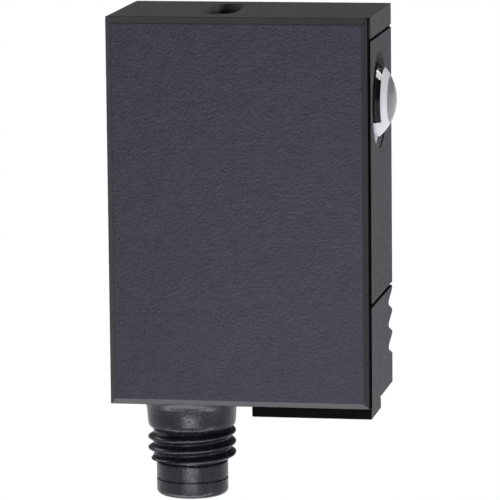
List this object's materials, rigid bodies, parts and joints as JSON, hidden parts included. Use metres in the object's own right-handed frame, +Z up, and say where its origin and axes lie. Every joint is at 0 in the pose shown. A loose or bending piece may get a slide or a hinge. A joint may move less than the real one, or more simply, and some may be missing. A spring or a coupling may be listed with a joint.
{
  "type": "photoelectric sensor",
  "caption": "Miniature block-shaped photoelectric sensor with a domed side lens, adjuster recess on top, locking corner slide and threaded snap-in round plug below.",
  "frame": {"origin": "centre of the rear mounting face of the housing", "axes": "+X the way the lens looks, -Y the wide front face, +Z up, with the plug pointing down"},
  "size_m": [0.0249, 0.014, 0.0442],
  "materials": {
    "cover_plastic": "fine spark-eroded",
    "frame_plastic": "satin moulded",
    "panel_plastic": "satin moulded",
    "brass_inserts": "machined",
    "clear_acrylic": "polished",
    "seal_rubber": "matt",
    "filter_film": "polished",
    "black_plastic": "matt",
    "led_epoxy": "polished",
    "black_epoxy": "moulded",
    "circuit_board": "solder mask",
    "tinned_steel": "tinned",
    "ceramic": "fired",
    "ferrite": "sintered",
    "header_plastic": "moulded",
    "trimmer_plastic": "moulded",
    "rotor_plastic": "moulded",
    "plug_plastic": "satin moulded",
    "gold_contacts": "gold plated",
    "wire_insulation": "extruded"
  },
  "bodies": {
    "root": {"front_cover": "cover_plastic", "housing_frame": "frame_plastic", "rear_cover": "frame_plastic", "threaded_inserts": "brass_inserts", "optics_panel": "panel_plastic", "lens": "clear_acrylic", "lens_seal": "seal_rubber", "polariser": "filter_film", "optics_tube": "black_plastic", "beam_splitter": "clear_acrylic", "aperture_disc": "black_plastic", "emitter_led": "led_epoxy", "receiver_diode": "black_epoxy", "optics_board": "circuit_board", "main_board": "circuit_board", "controller_chip": "black_epoxy", "driver_chip": "black_epoxy", "shield_can": "tinned_steel", "capacitors": "ceramic", "resistors": "black_epoxy", "crystal": "tinned_steel", "inductor": "ferrite", "protection_diode": "black_epoxy", "board_header": "header_plastic", "status_leds": "led_epoxy", "light_pipe": "clear_acrylic", "trimmer_body": "trimmer_plastic", "trimmer_seal": "seal_rubber", "connector_body": "plug_plastic", "connector_seal": "seal_rubber", "connector_nut": "tinned_steel", "contact_carrier": "black_plastic", "contact_pins": "gold_contacts", "lead_wires": "wire_insulation"},
    "adjuster": {"trimmer_rotor": "rotor_plastic"},
    "slide": {"locking_slide": "panel_plastic"}
  },
  "joints": [
    {"name": "adjuster_turn", "type": "hinge", "parent": "root", "child": "adjuster", "pos_m": [-0.00235, -0.00935, 0.0162], "axis": [0, 0, 1], "range_deg": [-135, 135]},
    {"name": "slide_travel", "type": "slide", "parent": "root", "child": "slide", "axis": [0, 0, -1], "range_m": [0, 0.0018]}
  ]
}
